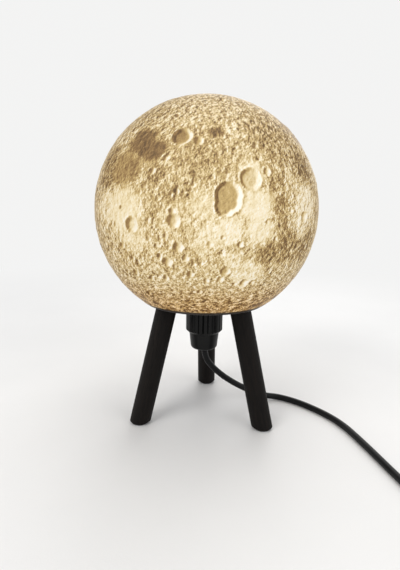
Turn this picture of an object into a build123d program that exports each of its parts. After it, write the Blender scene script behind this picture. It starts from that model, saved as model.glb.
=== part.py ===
from build123d import *
import math
import os

# Table lamp with a cratered globe on a three-legged stand. Millimetres, +Z up.
# The origin is the centre of the circle of feet, on the table. The rear leg is on +Y.

# Globe
globe_radius = 100.0
globe_wall = 3.0
globe_opening_radius = 58.6  # of the flat cut underneath, on the outside

# Plate under the globe
plate_top = 113.6
plate_thickness = 2.0
plate_inset = 2.4  # inside the cut edge of the globe
lip_height = 4.0
lip_wall = 2.0
lip_clearance = 0.4
boss_ledge = 2.8  # past the ring
boss_height = 9.6
boss_chamfer = 2.0
plate_edge_chamfer = 0.6

# Legs
leg_radius = 9.55
leg_top_inset = 18.2  # of the leg's axis from the plate's edge, at the underside of the plate
leg_spread = 27.9  # of the foot, outwards from there
leg_chamfer = 2.4
leg_names = ("leg_rear", "leg_front_left", "leg_front_right")
first_leg_direction = 90.0  # degrees from +X

# Leg screws
screw_length = 20.0
screw_shank_radius = 1.75
screw_head_radius = 3.5
screw_clearance = 0.06

# Lampholder
sleeve_radius = 14.65
sleeve_wall = 2.4
spigot_wall = 1.5
spigot_length = 7.0
sleeve_above_ring = 1.5
ring_wall = 2.65
upper_ring_height = 6.0
lower_ring_height = 21.0
ring_clearance = 0.3
ring_flutes = 24
flute_depth = 0.9
ring_chamfer = 2.4
cap_step = 0.15  # from the sleeve in to the cap
cap_shoulder_above_ring = 7.0  # the cap's rim above the lower edge of the ring
cap_bottom = 64.5
cap_taper = 2.0  # smaller in radius at the bottom
cap_round = 3.4
cap_wall = 1.7
cap_straight_from = 82.0
fit_clearance = 0.1

# Contact block, contacts and terminals
block_flange_height = 2.5
block_height = 12.0  # above its flange
contact_shell_radius = 7.5
contact_shell_wall = 0.35
contact_shell_height = 17.0
contact_hole_radius = 5.2
tongue_width = 3.0
tongue_thickness = 0.4
tongue_half_length = 4.2
tongue_rise = 1.4
terminal_offset = 6.5
terminal_head_radius = 2.0
terminal_head_height = 1.8
terminal_shank_radius = 1.2
terminal_shank_length = 7.0

# Cord grip in the cap
grip_radius = 8.0
grip_height = 5.0
grip_squeeze = 0.1
grip_screw_radius = 1.2

# Bulb
bulb_thread_radius = 6.95
bulb_thread_length = 15.0
bulb_shell_wall = 0.3
bulb_tip_radius = 2.4
bulb_tip_height = 1.0
bulb_tip_curve = 3.4
bulb_tip_gap = 0.1
bulb_insulator_radius = 3.4
bulb_insulator_height = 3.0
bulb_neck_radius = 8.2
bulb_neck_height = 4.0
bulb_housing_radius = 20.0
bulb_housing_height = 29.0
bulb_globe_radius = 22.5
bulb_globe_wall = 1.0
led_board_radius = 16.0
led_board_thickness = 1.6
led_count = 8
led_circle = 10.0
led_size = 3.0
led_height = 0.8

# Cord
cord_radius = 3.0
cord_hole_clearance = 0.3
arc_share = 0.45  # of the shorter run beside a corner

# Switch in the cord
switch_length = 60.0
switch_width = 26.0
switch_height = 15.0
switch_wall = 1.8
switch_end_wall = 6.0
switch_centre = (236.0, -142.0)
switch_round = 2.4
switch_foot_chamfer = 1.2
rocker_radius = 7.2
rocker_width = 9.4
rocker_window_gap = 0.3
rocker_tilt = 8.0
rocker_axis_below_top = 2.5
rocker_pin_radius = 1.0
rocker_pin_clearance = 0.05
switch_post_radius = 3.0
switch_post_x = 17.0
switch_post_y = 7.2
switch_screw_radius = 1.1
switch_screw_head = 2.3
switch_screw_length = 11.0
switch_screw_sink = 0.2  # of the head below the face
switch_screw_point = 0.8
rocker_side = 30.0  # degrees of the rocker's round side above its axis
rocker_dish = 2.9  # the middle of the rocker's hollow above its axis
pin_lug_width = 2.6
pin_lug_length = 4.4
contact_length = 10.0
contact_half_gap = 1.0
contact_width = 5.0
contact_thickness = 0.8
contact_height = 4.0

# Coil of the spare cord
coil_centre = (261.0, -78.0)
coil_radius = 46.0
coil_pitch = 7.0
coil_layer = 6.8
coil_half_turns_in = 6
coil_half_turns_out = 5
coil_climb_inwards = 1.4
coil_straight_end = 6.0

# Plug
plug_rear = (303.5, -33.0)
plug_width = 35.3
plug_thickness = 13.7
plug_length = 34.0
plug_shoulder = 11.0
plug_waist = 15.0
plug_round = 2.5
plug_edge_chamfer = 1.5
relief_length = 22.0
relief_radius = 5.4
relief_end_radius = 4.0
relief_ribs = 4
relief_groove_depth = 0.8
relief_groove_width = 1.4
pin_radius = 2.0
pin_core_radius = 1.4
pin_spacing = 18.6
pin_sleeve_length = 10.0
pin_tip_length = 9.0

# Craters on the side that is usually to the front: longitude from -Y towards +X, latitude,
# radius of the rim circle and depth of the floor below it
front_craters = [
    (11.6, 7.1, 11.0, 1.1),
    (22.1, 15.6, 8.4, 0.9),
    (-10.0, 34.0, 7.8, 0.9),
    (-0.9, 31.6, 4.2, 0.6),
    (9.1, 36.7, 5.6, 0.7),
    (-10.2, -1.4, 5.3, 0.8),
    (-30.4, -4.0, 4.8, 0.8),
    (-14.6, -19.6, 3.7, 0.6),
    (12.7, -23.2, 3.7, 0.6),
    (51.8, 0.5, 5.4, 0.8),
]
rim_min_radius = 8.2  # craters from this radius up have a raised rim
rim_height = 0.8
rear_crater_count = 18
rear_crater_radii = (5.5, 8.0, 6.5, 11.5)
rear_crater_depth = 0.1  # of the crater's radius
front_half_width = 68.0  # degrees of longitude that hold the craters listed above
crater_top_latitude = 62.0
crater_bottom_latitude = -42.0
golden_angle = 137.508

# Sizes that follow from the ones above
globe_rise = math.sqrt(globe_radius**2 - globe_opening_radius**2)
globe_centre = Vector(0, 0, plate_top + globe_rise)
inner_radius = globe_radius - globe_wall
inner_cut_radius = math.sqrt(inner_radius**2 - globe_rise**2)
plate_radius = globe_opening_radius - plate_inset
plate_underside = plate_top - plate_thickness
boss_bottom = plate_underside - boss_height
leg_top_circle = plate_radius - leg_top_inset
leg_foot_circle = leg_top_circle + leg_spread
leg_lean = math.atan2(leg_spread, plate_underside)
screw_circle = leg_top_circle + math.tan(leg_lean) * (screw_length - plate_thickness) / 2
ring_bottom = boss_bottom - lower_ring_height
shoulder_z = ring_bottom + cap_shoulder_above_ring
sleeve_top = plate_top + upper_ring_height + sleeve_above_ring
bore_radius = sleeve_radius - sleeve_wall
ring_radius = sleeve_radius + ring_clearance + ring_wall
boss_radius = ring_radius + boss_ledge
cap_top_radius = sleeve_radius - cap_step
cap_bottom_radius = cap_top_radius - cap_taper
spigot_radius = cap_top_radius - spigot_wall
spigot_bottom = shoulder_z - spigot_length
ledge_z = spigot_bottom - block_flange_height
ledge_radius = spigot_radius - cap_wall
block_top = spigot_bottom + block_height
cap_floor = cap_bottom + cap_wall
tip_bottom = block_top + tongue_thickness + tongue_rise + bulb_tip_gap
bulb_shell_bottom = tip_bottom + bulb_tip_height
bulb_thread_bottom = bulb_shell_bottom + bulb_insulator_height
bulb_neck_bottom = bulb_thread_bottom + bulb_thread_length
housing_bottom = bulb_neck_bottom
housing_top = housing_bottom + bulb_housing_height
bulb_globe_centre = housing_top + math.sqrt(bulb_globe_radius**2 - bulb_housing_radius**2)
led_board_z = housing_top - led_board_thickness
cord_level = switch_height / 2
plug_level = plug_thickness / 2

os.makedirs("parts", exist_ok=True)


def finish(builder, name):
    builder.part.label = name
    export_step(builder.part, f"parts/{name}.step")


# Globe shell


def crater_plane(longitude, latitude, height):
    around = math.radians(longitude)
    up = math.radians(latitude)
    outward = Vector(math.cos(up) * math.sin(around), -math.cos(up) * math.cos(around), math.sin(up))
    return Plane(origin=globe_centre + outward * height, z_dir=outward)


def rear_craters():
    found = []
    for number in range(rear_crater_count):
        longitude = (number * golden_angle) % 360.0 - 180.0
        share = (number + 0.5) / rear_crater_count
        low = math.sin(math.radians(crater_bottom_latitude))
        high = math.sin(math.radians(crater_top_latitude))
        latitude = math.degrees(math.asin(low + (high - low) * share))
        radius = rear_crater_radii[number % len(rear_crater_radii)]
        if abs(longitude) > front_half_width:
            found.append((longitude, latitude, radius, rear_crater_depth * radius))
    return found


with BuildPart() as globe_shell:
    with BuildSketch(Plane.XZ) as globe_profile:
        with BuildLine():
            outer = CenterArc(
                (0, globe_centre.Z),
                globe_radius,
                math.degrees(math.atan2(-globe_rise, globe_opening_radius)),
                90 + math.degrees(math.atan2(globe_rise, globe_opening_radius)),
            )
            inner = CenterArc(
                (0, globe_centre.Z),
                inner_radius,
                math.degrees(math.atan2(-globe_rise, inner_cut_radius)),
                90 + math.degrees(math.atan2(globe_rise, inner_cut_radius)),
            )
            Line(outer @ 0, inner @ 0)
            Line(outer @ 1, inner @ 1)
        make_face()
    revolve(axis=Axis.Z)
    craters = front_craters + rear_craters()
    for longitude, latitude, radius, depth in craters:
        rim_plane_height = math.sqrt(globe_radius**2 - radius**2)
        if radius >= rim_min_radius:
            with Locations(crater_plane(longitude, latitude, rim_plane_height)):
                Torus(radius, rim_height)
    for longitude, latitude, radius, depth in craters:
        rim_plane_height = math.sqrt(globe_radius**2 - radius**2)
        bowl_radius = (radius**2 + depth**2) / (2 * depth)
        with Locations(crater_plane(longitude, latitude, rim_plane_height - depth + bowl_radius)):
            Sphere(bowl_radius, mode=Mode.SUBTRACT)
finish(globe_shell, "globe_shell")


# Plate with its lip for the globe and its boss for the lampholder

with BuildPart() as base_plate:
    with BuildSketch(Plane.XY.offset(plate_underside)):
        Circle(plate_radius)
    extrude(amount=plate_thickness)
    chamfer(base_plate.edges().filter_by(GeomType.CIRCLE), plate_edge_chamfer)
    with BuildSketch(Plane.XY.offset(plate_top)):
        Circle(inner_cut_radius - lip_clearance)
        Circle(inner_cut_radius - lip_clearance - lip_wall, mode=Mode.SUBTRACT)
    extrude(amount=lip_height)
    with BuildSketch(Plane.XY.offset(boss_bottom)):
        Circle(boss_radius)
    extrude(amount=boss_height)
    boss_edge = base_plate.edges().filter_by(GeomType.CIRCLE).group_by(Axis.Z)[0]
    chamfer(boss_edge, boss_chamfer)
    with Locations((0, 0, plate_top)):
        Hole(sleeve_radius + ring_clearance, depth=plate_thickness + boss_height)
    with Locations(Plane.XY.offset(plate_top)):
        with PolarLocations(screw_circle, len(leg_names), start_angle=first_leg_direction):
            CounterSinkHole(
                screw_shank_radius + screw_clearance,
                screw_head_radius + screw_clearance,
                depth=plate_thickness,
                counter_sink_angle=90,
            )
finish(base_plate, "base_plate")


# Legs: round rods that lean outwards, cut level at both ends

for number, leg_name in enumerate(leg_names):
    heading = math.radians(first_leg_direction + number * 360 / len(leg_names))
    outwards = Vector(math.cos(heading), math.sin(heading), 0)
    foot = outwards * leg_foot_circle
    leg_axis = (outwards * leg_top_circle + Vector(0, 0, plate_underside) - foot).normalized()
    with BuildPart() as leg:
        with BuildSketch(Plane(origin=foot - leg_axis * 2 * leg_radius, z_dir=leg_axis)):
            Circle(leg_radius)
        extrude(amount=plate_underside / math.cos(leg_lean) + 4 * leg_radius)
        split(bisect_by=Plane.XY, keep=Keep.TOP)
        split(bisect_by=Plane.XY.offset(plate_underside), keep=Keep.BOTTOM)
        foot_edge = leg.edges().group_by(Axis.Z)[0]
        chamfer(foot_edge, leg_chamfer)
        with Locations(outwards * screw_circle + Vector(0, 0, plate_underside)):
            Hole(screw_shank_radius + screw_clearance, depth=screw_length - plate_thickness)
    finish(leg, leg_name)


# Leg screws

with BuildPart() as leg_screws:
    with BuildSketch(Plane.XZ) as screw_profile:
        with BuildLine():
            Polyline(
                (0, plate_top),
                (screw_head_radius, plate_top),
                (screw_shank_radius, plate_top - screw_head_radius + screw_shank_radius),
                (screw_shank_radius, plate_top - screw_length + screw_clearance),
                (0, plate_top - screw_length + screw_clearance),
                close=True,
            )
        make_face()
    screw_solid = revolve(axis=Axis.Z, mode=Mode.PRIVATE)
    with PolarLocations(screw_circle, len(leg_names), start_angle=first_leg_direction):
        add(screw_solid)
finish(leg_screws, "leg_screws")


# Lampholder: threaded sleeve, cap and the two rings that clamp the plate


def fluted_ring(bottom, height, chamfer_at_bottom):
    with BuildPart() as ring:
        with BuildSketch(Plane.XY.offset(bottom)):
            Circle(ring_radius)
        extrude(amount=height)
        level = ring.edges().filter_by(GeomType.CIRCLE).group_by(Axis.Z)
        chamfer(level[0] if chamfer_at_bottom else level[-1], ring_chamfer)
        with BuildSketch(Plane.XY.offset(bottom)):
            with PolarLocations(ring_radius, ring_flutes):
                RegularPolygon(flute_depth, 4)
        extrude(amount=height, mode=Mode.SUBTRACT)
        with BuildSketch(Plane.XY.offset(bottom)):
            Circle(sleeve_radius + ring_clearance)
        extrude(amount=height, mode=Mode.SUBTRACT)
    return ring


finish(fluted_ring(ring_bottom, lower_ring_height, True), "lower_clamp_ring")
finish(fluted_ring(plate_top, upper_ring_height, False), "upper_clamp_ring")

with BuildPart() as holder_sleeve:
    with BuildSketch(Plane.XZ):
        with BuildLine():
            Polyline(
                (bore_radius, spigot_bottom),
                (spigot_radius, spigot_bottom),
                (spigot_radius, shoulder_z),
                (sleeve_radius, shoulder_z),
                (sleeve_radius, sleeve_top),
                (bore_radius, sleeve_top),
                close=True,
            )
        make_face()
    revolve(axis=Axis.Z)
    chamfer(holder_sleeve.edges().filter_by(GeomType.CIRCLE).group_by(Axis.Z)[-1], sleeve_wall / 4)
finish(holder_sleeve, "holder_sleeve")

with BuildPart() as holder_cap:
    with BuildSketch(Plane.XZ) as cap_profile:
        with BuildLine():
            Polyline(
                (0, cap_bottom),
                (cap_bottom_radius, cap_bottom),
                (cap_top_radius, cap_straight_from),
                (cap_top_radius, shoulder_z),
                (0, shoulder_z),
                close=True,
            )
        make_face()
        fillet(cap_profile.vertices().group_by(Axis.Y)[0].sort_by(Axis.X)[-1], cap_round)
    revolve(axis=Axis.Z)
    with BuildSketch(Plane.XZ) as cap_cavity:
        with BuildLine():
            Polyline(
                (0, cap_floor),
                (cap_bottom_radius - cap_wall, cap_floor),
                (ledge_radius, ledge_z),
                (spigot_radius + fit_clearance, ledge_z),
                (spigot_radius + fit_clearance, shoulder_z),
                (0, shoulder_z),
                close=True,
            )
        make_face()
        chamfer(cap_cavity.vertices().group_by(Axis.Y)[0].sort_by(Axis.X)[-1], cap_round - cap_wall)
    revolve(axis=Axis.Z, mode=Mode.SUBTRACT)
    with Locations((0, 0, cap_floor)):
        Hole(cord_radius + cord_hole_clearance, depth=cap_wall)
finish(holder_cap, "holder_cap")


# Contact block, contacts and terminal screws

with BuildPart() as contact_block:
    with BuildSketch(Plane.XY.offset(ledge_z)):
        Circle(spigot_radius - fit_clearance)
    extrude(amount=block_flange_height)
    with BuildSketch(Plane.XY.offset(spigot_bottom)):
        Circle(bore_radius - fit_clearance)
    extrude(amount=block_height)
    with Locations(Plane.XY.offset(ledge_z)):
        with Locations((terminal_offset, 0), (-terminal_offset, 0)):
            Cylinder(
                terminal_shank_radius + fit_clearance / 2,
                terminal_shank_length + fit_clearance,
                align=(Align.CENTER, Align.CENTER, Align.MIN),
                mode=Mode.SUBTRACT,
            )
finish(contact_block, "contact_block")

with BuildPart() as contact_shell:
    with BuildSketch(Plane.XY.offset(block_top)):
        Circle(contact_shell_radius)
    extrude(amount=contact_shell_height)
    with BuildSketch(Plane.XY.offset(block_top + contact_shell_wall)):
        Circle(contact_shell_radius - contact_shell_wall)
    extrude(amount=contact_shell_height, mode=Mode.SUBTRACT)
    with Locations((0, 0, block_top + contact_shell_wall)):
        Hole(contact_hole_radius, depth=contact_shell_wall)
finish(contact_shell, "contact_shell")

with BuildPart() as centre_contact:
    with BuildSketch(Plane.XZ.offset(-tongue_width / 2)):
        with BuildLine():
            low_left = (-tongue_half_length, block_top)
            low_right = (tongue_half_length, block_top)
            under = ThreePointArc(low_left, (0, block_top + tongue_rise), low_right)
            Line(low_right, (tongue_half_length, block_top + tongue_thickness))
            ThreePointArc(
                (tongue_half_length, block_top + tongue_thickness),
                (0, block_top + tongue_rise + tongue_thickness),
                (-tongue_half_length, block_top + tongue_thickness),
            )
            Line((-tongue_half_length, block_top + tongue_thickness), low_left)
        make_face()
    extrude(amount=tongue_width)
finish(centre_contact, "centre_contact")

with BuildPart() as terminal_screws:
    with Locations(Plane.XY.offset(ledge_z)):
        with Locations((terminal_offset, 0), (-terminal_offset, 0)):
            Cylinder(
                terminal_head_radius,
                terminal_head_height,
                align=(Align.CENTER, Align.CENTER, Align.MAX),
            )
            Cylinder(
                terminal_shank_radius,
                terminal_shank_length,
                align=(Align.CENTER, Align.CENTER, Align.MIN),
            )
finish(terminal_screws, "terminal_screws")


# Cord grip on the floor of the cap, with the screw that closes it on the cord

with BuildPart() as cord_grip:
    with BuildSketch(Plane.XY.offset(cap_floor)):
        Circle(grip_radius)
        Circle(cord_radius - grip_squeeze, mode=Mode.SUBTRACT)
    extrude(amount=grip_height)
    with BuildSketch(Plane.YZ.offset(-grip_radius)):
        with Locations((0, cap_floor + grip_height / 2)):
            Circle(grip_screw_radius + fit_clearance)
    extrude(amount=grip_radius, mode=Mode.SUBTRACT)
finish(cord_grip, "cord_grip")

with BuildPart() as grip_screw:
    with BuildSketch(Plane.YZ.offset(-grip_radius)):
        with Locations((0, cap_floor + grip_height / 2)):
            Circle(grip_screw_radius)
    extrude(amount=grip_radius - cord_radius - fit_clearance)
finish(grip_screw, "grip_screw")


# Bulb: screw shell, insulator, tip, housing, light board with its chips, and diffuser

with BuildPart() as bulb_screw_shell:
    with BuildSketch(Plane.XY.offset(bulb_thread_bottom)):
        Circle(bulb_thread_radius)
        Circle(bulb_thread_radius - bulb_shell_wall, mode=Mode.SUBTRACT)
    extrude(amount=bulb_thread_length)
finish(bulb_screw_shell, "bulb_screw_shell")

with BuildPart() as bulb_insulator:
    with BuildSketch(Plane.XZ):
        with BuildLine():
            Polyline(
                (0, bulb_shell_bottom),
                (bulb_insulator_radius, bulb_shell_bottom),
                (bulb_thread_radius - bulb_shell_wall, bulb_thread_bottom),
                (0, bulb_thread_bottom),
                close=True,
            )
        make_face()
    revolve(axis=Axis.Z)
finish(bulb_insulator, "bulb_insulator")

with BuildPart() as bulb_tip:
    with BuildSketch(Plane.XZ):
        with BuildLine():
            Polyline((bulb_tip_radius, bulb_shell_bottom), (0, bulb_shell_bottom), (0, tip_bottom))
            RadiusArc((0, tip_bottom), (bulb_tip_radius, bulb_shell_bottom), -bulb_tip_curve)
        make_face()
    revolve(axis=Axis.Z)
finish(bulb_tip, "bulb_tip")

with BuildPart() as bulb_housing:
    with BuildSketch(Plane.XZ):
        with BuildLine():
            Line((0, housing_bottom), (bulb_neck_radius, housing_bottom))
            Line(
                (bulb_neck_radius, housing_bottom),
                (bulb_neck_radius, housing_bottom + bulb_neck_height),
            )
            TangentArc(
                (bulb_neck_radius, housing_bottom + bulb_neck_height),
                (bulb_housing_radius, housing_top),
                tangent=(0, 1, 0),
            )
            Polyline(
                (bulb_housing_radius, housing_top),
                (led_board_radius + fit_clearance, housing_top),
                (led_board_radius + fit_clearance, led_board_z),
                (0, led_board_z),
                (0, housing_bottom),
            )
        make_face()
    revolve(axis=Axis.Z)
finish(bulb_housing, "bulb_housing")

with BuildPart() as led_board:
    with BuildSketch(Plane.XY.offset(led_board_z)):
        Circle(led_board_radius)
    extrude(amount=led_board_thickness)
finish(led_board, "led_board")

with BuildPart() as led_chips:
    with BuildSketch(Plane.XY.offset(housing_top)):
        with PolarLocations(led_circle, led_count):
            Rectangle(led_size, led_size)
    extrude(amount=led_height)
finish(led_chips, "led_chips")

with BuildPart() as bulb_diffuser:
    with BuildSketch(Plane.XZ):
        with BuildLine():
            inside = bulb_globe_radius - bulb_globe_wall
            rise = bulb_globe_centre - housing_top
            outer = CenterArc(
                (0, bulb_globe_centre),
                bulb_globe_radius,
                -math.degrees(math.asin(rise / bulb_globe_radius)),
                90 + math.degrees(math.asin(rise / bulb_globe_radius)),
            )
            inner = CenterArc(
                (0, bulb_globe_centre),
                inside,
                -math.degrees(math.asin(rise / inside)),
                90 + math.degrees(math.asin(rise / inside)),
            )
            Line(outer @ 0, inner @ 0)
            Line(outer @ 1, inner @ 1)
        make_face()
    revolve(axis=Axis.Z)
finish(bulb_diffuser, "bulb_diffuser")


# Cord: its route from the lampholder over the table to the switch, then to the coil

lead_route = [
    (0, 0, 72.5),
    (0, 0, 56),
    (9.5, 4, 41.5),
    (24, 10.5, 27.5),
    (42, 18, 15),
    (61, 24.5, 5.2),
    (80, 27.5, 3),
    (104, 11.5, 3),
    (129.5, -18.5, 3),
    (142, -57, 3),
    (154, -102, 3),
    (160.5, -124, 3),
    (175, -137.5, 4.6),
    (194, -142, 7.5),
    (212, -142, 7.5),
]
tail_route = [
    (260, -142, 7.5),
    (277, -142, 7.5),
    (293, -134.5, 5.4),
    (303.5, -120, 3),
    (307, -101, 3),
    (307, -84, 3),
]
end_route = [
    (303.5, -72, 9.8),
    (303.5, -59.5, 9.8),
    (303.5, -46, 6.85),
    (303.5, -33, 6.85),
]


def corner_radii(points):
    places = [Vector(*point) for point in points]
    radii = []
    for before, corner, after in zip(places, places[1:], places[2:]):
        first = corner - before
        second = after - corner
        half_turn = math.radians(first.get_angle(second)) / 2
        radii.append(arc_share * min(first.length, second.length) / math.tan(half_turn))
    return radii


def cord_tube(points, name):
    radii = corner_radii(points)
    with BuildPart() as tube:
        with BuildLine() as route:
            FilletPolyline(*points, radius=radii)
        start = Vector(*points[0])
        with BuildSketch(Plane(origin=start, z_dir=Vector(*points[1]) - start)):
            Circle(cord_radius)
        sweep(path=route.wires()[0])
    length = route.wires()[0].length
    section = math.pi * cord_radius**2
    print(f"{name}: length {length:.1f}, radii {[round(radius, 1) for radius in radii]}")
    print(f"{name}: volume over section times length {tube.part.volume / section / length:.4f}")
    finish(tube, name)
    return length


lead_length = cord_tube(lead_route, "cord_lead")
tail_length = cord_tube(tail_route, "cord_tail")
end_length = cord_tube(end_route, "cord_end")


# Coil: two layers of half turns about alternate centres, as one unbroken tube that spirals in,
# climbs a layer and spirals out again


def coil_station(number):
    outwards = 1 if number % 2 == 0 else -1
    radius = coil_radius - coil_pitch / 2 * min(number, coil_half_turns_in)
    level = cord_radius
    if number > coil_half_turns_in:
        radius += coil_pitch / 2 * (number - coil_half_turns_in - 1)
        level += coil_layer
    if number == coil_half_turns_in + 1:
        radius -= coil_climb_inwards
    return Vector(coil_centre[0] + outwards * radius, coil_centre[1], level)


def coil_heading(number):
    return Vector(0, 1 if number % 2 == 0 else -1, 0)


coil_stations = coil_half_turns_in + 1 + coil_half_turns_out
coil_start = coil_station(0) - coil_heading(0) * coil_straight_end
coil_end = coil_station(coil_stations) + coil_heading(coil_stations) * coil_straight_end
climb_from = coil_station(coil_half_turns_in)
climb_to = coil_station(coil_half_turns_in + 1)
climb_heading = coil_heading(coil_half_turns_in)
climb_reach = (climb_to - climb_from).length / 2
climb_middle = (climb_from + climb_to) * 0.5 + climb_heading * climb_reach
with BuildPart() as cord_coil:
    with BuildLine() as coil_path:
        Line(coil_start, coil_station(0))
        for number in range(coil_stations):
            if number == coil_half_turns_in:
                TangentArc(climb_from, climb_middle, tangent=climb_heading)
                TangentArc(climb_middle, climb_to, tangent=climb_to - climb_from)
            else:
                TangentArc(coil_station(number), coil_station(number + 1), tangent=coil_heading(number))
        Line(coil_station(coil_stations), coil_end)
    with BuildSketch(Plane(origin=coil_start, z_dir=coil_heading(0))):
        Circle(cord_radius)
    sweep(path=coil_path.wires()[0])
finish(cord_coil, "cord_coil")

coil_wire = coil_path.wires()[0]
coil_length = coil_wire.length
samples = 600
coil_points = [coil_wire.position_at(number / samples) for number in range(samples + 1)]
apart = int(samples * 8 * cord_radius / coil_length)
least_gap = min(
    (coil_points[low] - coil_points[high]).length - 2 * cord_radius
    for low in range(samples + 1)
    for high in range(low + apart, samples + 1)
)
print(f"cord_coil: length {coil_length:.1f}, least gap to itself {least_gap:.2f}, ends at {coil_end}")
print(f"cord in all: {lead_length + tail_length + end_length + coil_length:.1f}")


# Switch in the cord: two half shells, a rocker on its pin, contacts and screws

switch_x, switch_y = switch_centre
split_z = switch_height / 2
switch_cavity_length = switch_length - 2 * switch_end_wall
switch_cavity_width = switch_width - 2 * switch_wall
cover_inside = switch_height - switch_wall
rocker_axis_z = switch_height - rocker_axis_below_top
window_length = 2 * (rocker_radius + rocker_window_gap)
window_width = rocker_width + 2 * rocker_window_gap
lug_y = window_width / 2 + pin_lug_width / 2
switch_floor_plane = Plane(origin=(switch_x, switch_y, 0))
post_places = [(-switch_post_x, -switch_post_y), (switch_post_x, switch_post_y)]


with BuildSketch(Plane(origin=(switch_x, switch_y, cord_level), z_dir=(1, 0, 0))) as cord_channel:
    Circle(cord_radius - grip_squeeze)

with BuildPart() as switch_base:
    with BuildSketch(switch_floor_plane):
        SlotOverall(switch_length, switch_width)
    extrude(amount=split_z)
    chamfer(switch_base.edges().group_by(Axis.Z)[0], switch_foot_chamfer)
    with BuildSketch(switch_floor_plane.offset(switch_wall)):
        RectangleRounded(switch_cavity_length, switch_cavity_width, switch_round)
    extrude(amount=split_z - switch_wall, mode=Mode.SUBTRACT)
    extrude(cord_channel.sketch, amount=switch_length / 2, both=True, mode=Mode.SUBTRACT)
    with BuildSketch(switch_floor_plane.offset(switch_wall)):
        with Locations(*post_places):
            Circle(switch_post_radius)
    extrude(amount=split_z - switch_wall)
    with Locations(Plane(origin=(switch_x, switch_y, 0), z_dir=(0, 0, -1), x_dir=(1, 0, 0))):
        with Locations(*[(place[0], -place[1]) for place in post_places]):
            CounterSinkHole(
                switch_screw_radius + fit_clearance,
                switch_screw_head + fit_clearance,
                depth=split_z,
                counter_sink_angle=90,
            )
finish(switch_base, "switch_base")

with BuildPart() as switch_cover:
    with BuildSketch(switch_floor_plane.offset(split_z)):
        SlotOverall(switch_length, switch_width)
    extrude(amount=split_z)
    fillet(switch_cover.edges().group_by(Axis.Z)[-1], switch_round)
    with BuildSketch(switch_floor_plane.offset(split_z)):
        RectangleRounded(switch_cavity_length, switch_cavity_width, switch_round)
    extrude(amount=cover_inside - split_z, mode=Mode.SUBTRACT)
    extrude(cord_channel.sketch, amount=switch_length / 2, both=True, mode=Mode.SUBTRACT)
    with BuildSketch(switch_floor_plane.offset(cover_inside)):
        Rectangle(window_length, window_width)
    extrude(amount=switch_wall, mode=Mode.SUBTRACT)
    with BuildSketch(switch_floor_plane.offset(split_z)):
        with Locations(*post_places):
            Circle(switch_post_radius)
    extrude(amount=cover_inside - split_z)
    with BuildSketch(switch_floor_plane.offset(split_z)):
        with Locations(*post_places):
            Circle(switch_screw_radius + fit_clearance)
    extrude(amount=switch_screw_length - split_z, mode=Mode.SUBTRACT)
    with BuildSketch(switch_floor_plane.offset(rocker_axis_z - pin_lug_length / 2)):
        with Locations((0, lug_y), (0, -lug_y)):
            Rectangle(pin_lug_length, pin_lug_width)
    extrude(amount=cover_inside - rocker_axis_z + pin_lug_length / 2)
    with BuildSketch(Plane(origin=(switch_x, switch_y, rocker_axis_z), z_dir=(0, 1, 0))):
        Circle(rocker_pin_radius)
    extrude(amount=lug_y + pin_lug_width / 2, both=True, mode=Mode.SUBTRACT)
finish(switch_cover, "switch_cover")

with BuildPart() as rocker_pin:
    with BuildSketch(Plane(origin=(switch_x, switch_y, rocker_axis_z), z_dir=(0, 1, 0))):
        Circle(rocker_pin_radius)
    extrude(amount=lug_y + pin_lug_width / 2, both=True)
finish(rocker_pin, "rocker_pin")

tilt = math.radians(rocker_tilt)
rocker_plane = Plane(
    origin=(switch_x, switch_y, rocker_axis_z),
    x_dir=(math.cos(tilt), 0, -math.sin(tilt)),
    z_dir=(0, -1, 0),
)
with BuildPart() as switch_rocker:
    with BuildSketch(rocker_plane):
        with BuildLine():
            right = CenterArc((0, 0), rocker_radius, -rocker_side / 2, rocker_side * 1.5)
            left = CenterArc((0, 0), rocker_radius, 180 - rocker_side, rocker_side * 1.5)
            ThreePointArc(right @ 1, (0, rocker_dish), left @ 0)
            Line(left @ 1, right @ 0)
        make_face()
        Circle(rocker_pin_radius + rocker_pin_clearance, mode=Mode.SUBTRACT)
    extrude(amount=rocker_width / 2, both=True)
finish(switch_rocker, "switch_rocker")

contact_plane = Plane(origin=(switch_x, switch_y, switch_wall), x_dir=(1, 0, 0), z_dir=(0, -1, 0))
with BuildPart() as switch_contacts:
    for side in (-1, 1):
        with BuildSketch(contact_plane):
            with BuildLine():
                near = side * contact_half_gap
                bend = side * (contact_half_gap + contact_thickness)
                far = side * (contact_half_gap + contact_length)
                Polyline(
                    (near, 0),
                    (far, 0),
                    (far, contact_thickness),
                    (bend, contact_thickness),
                    (bend, contact_height),
                    (near, contact_height),
                    close=True,
                )
            make_face()
        extrude(amount=contact_width / 2, both=True)
finish(switch_contacts, "switch_contacts")

with BuildPart() as switch_screws:
    with BuildSketch(Plane.XZ):
        with BuildLine():
            Polyline(
                (0, switch_screw_sink),
                (switch_screw_head - switch_screw_sink, switch_screw_sink),
                (switch_screw_radius, switch_screw_head - switch_screw_radius),
                (switch_screw_radius, switch_screw_length - switch_screw_sink - switch_screw_point),
                (0, switch_screw_length - switch_screw_sink),
                close=True,
            )
        make_face()
    small_screw = revolve(axis=Axis.Z, mode=Mode.PRIVATE)
    with Locations(switch_floor_plane):
        with Locations(*post_places):
            add(small_screw)
finish(switch_screws, "switch_screws")


# Plug: moulded body with its strain relief, and two pins in insulating sleeves

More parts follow.
